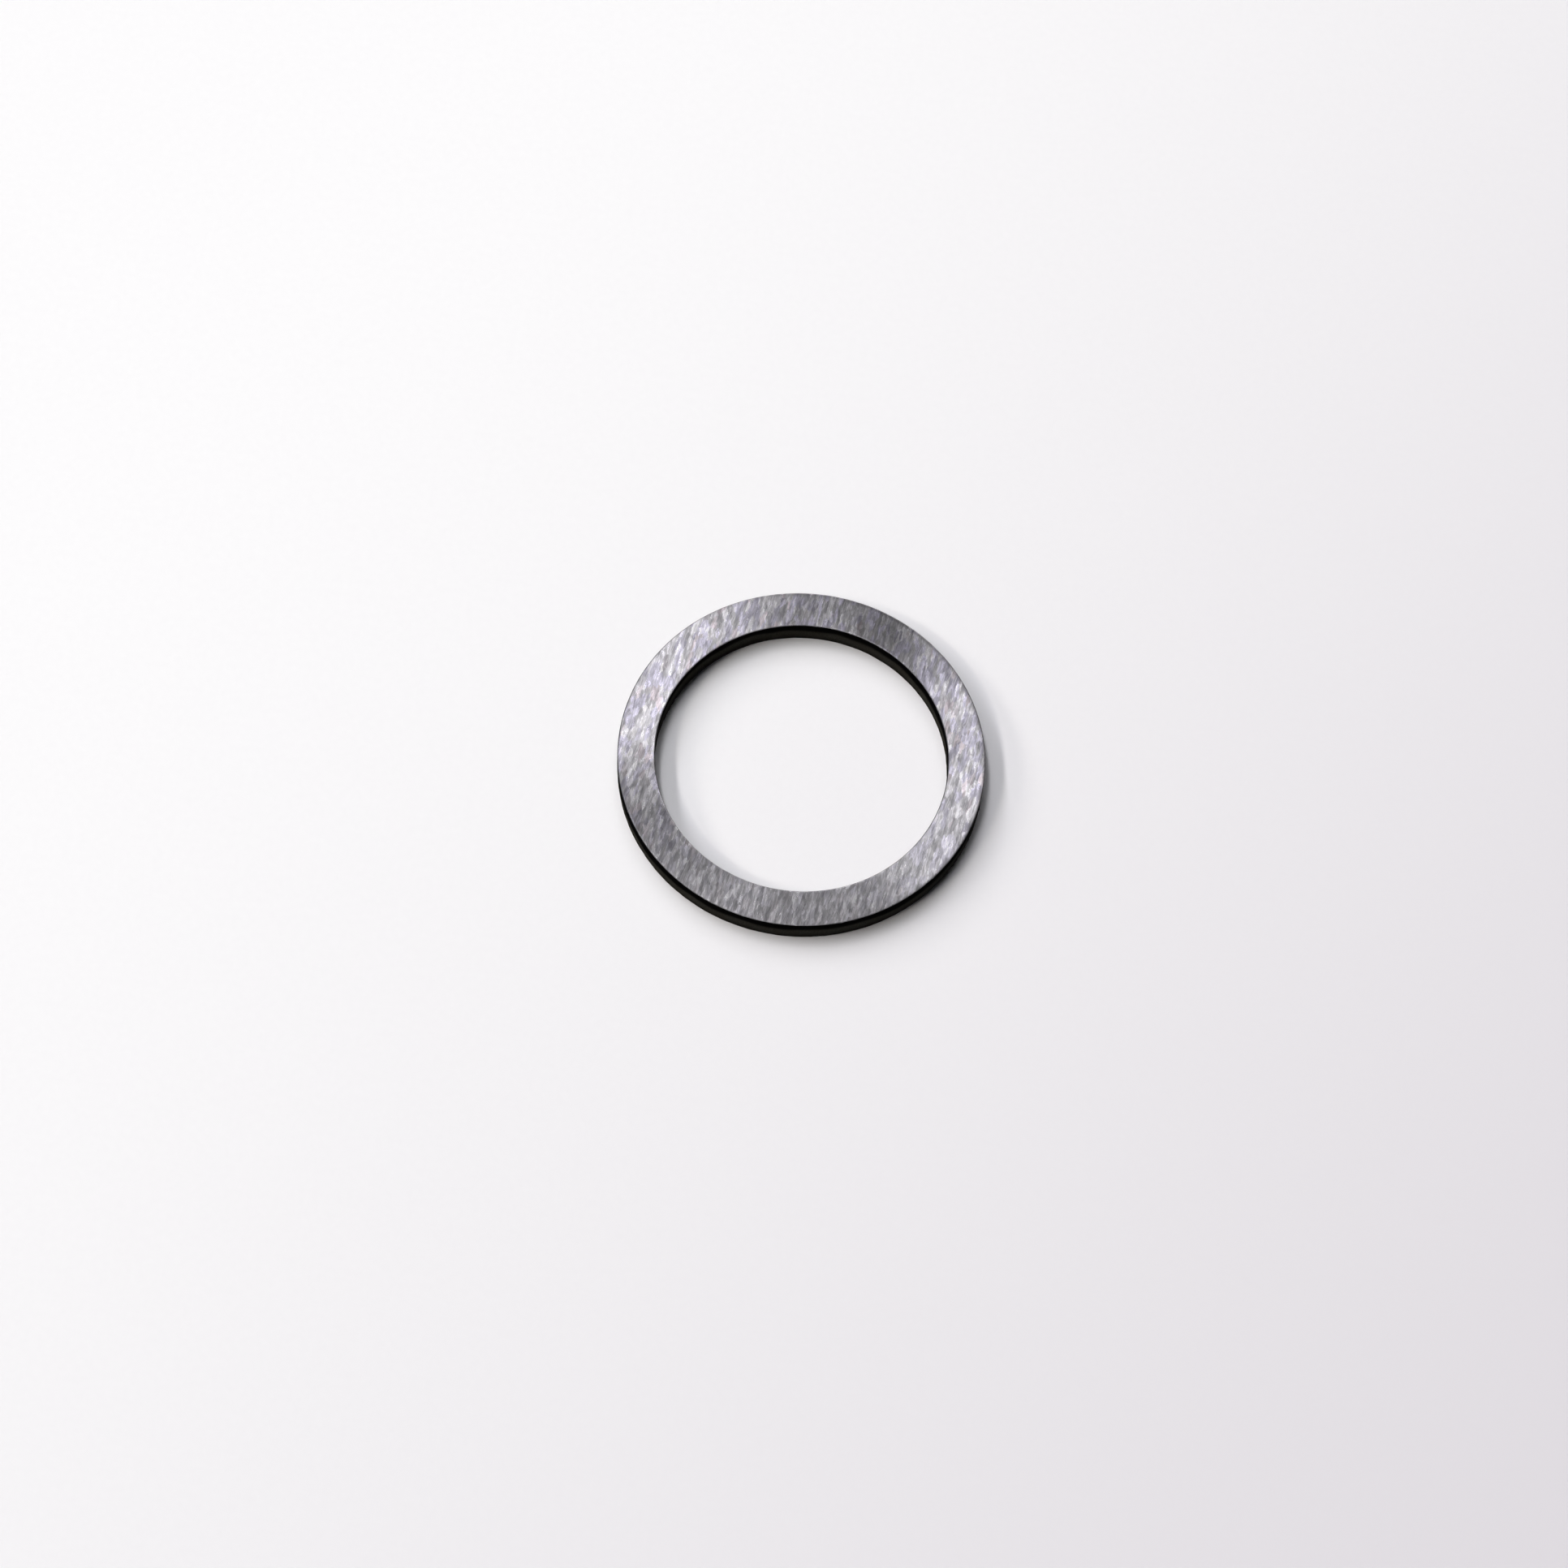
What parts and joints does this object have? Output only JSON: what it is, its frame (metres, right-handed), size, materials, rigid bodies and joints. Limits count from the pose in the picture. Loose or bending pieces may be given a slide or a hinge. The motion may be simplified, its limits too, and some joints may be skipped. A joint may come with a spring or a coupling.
{
  "type": "shim washer",
  "caption": "Flat ground steel ring with a round bore and blackened walls, for taking up end play on a shaft.",
  "frame": {"origin": "centre of the lower face, on the axis of the bore", "axes": "+Z along the axis of the bore, out of the upper face; +X and +Y lie in the plane of the lower face"},
  "size_m": [0.032, 0.032, 0.0025],
  "materials": {
    "ground_steel": "faces surface ground with a fine one-way lay, bore and rim walls blackened"
  },
  "bodies": {
    "root": {"shim_washer": "ground_steel"}
  },
  "joints": []
}
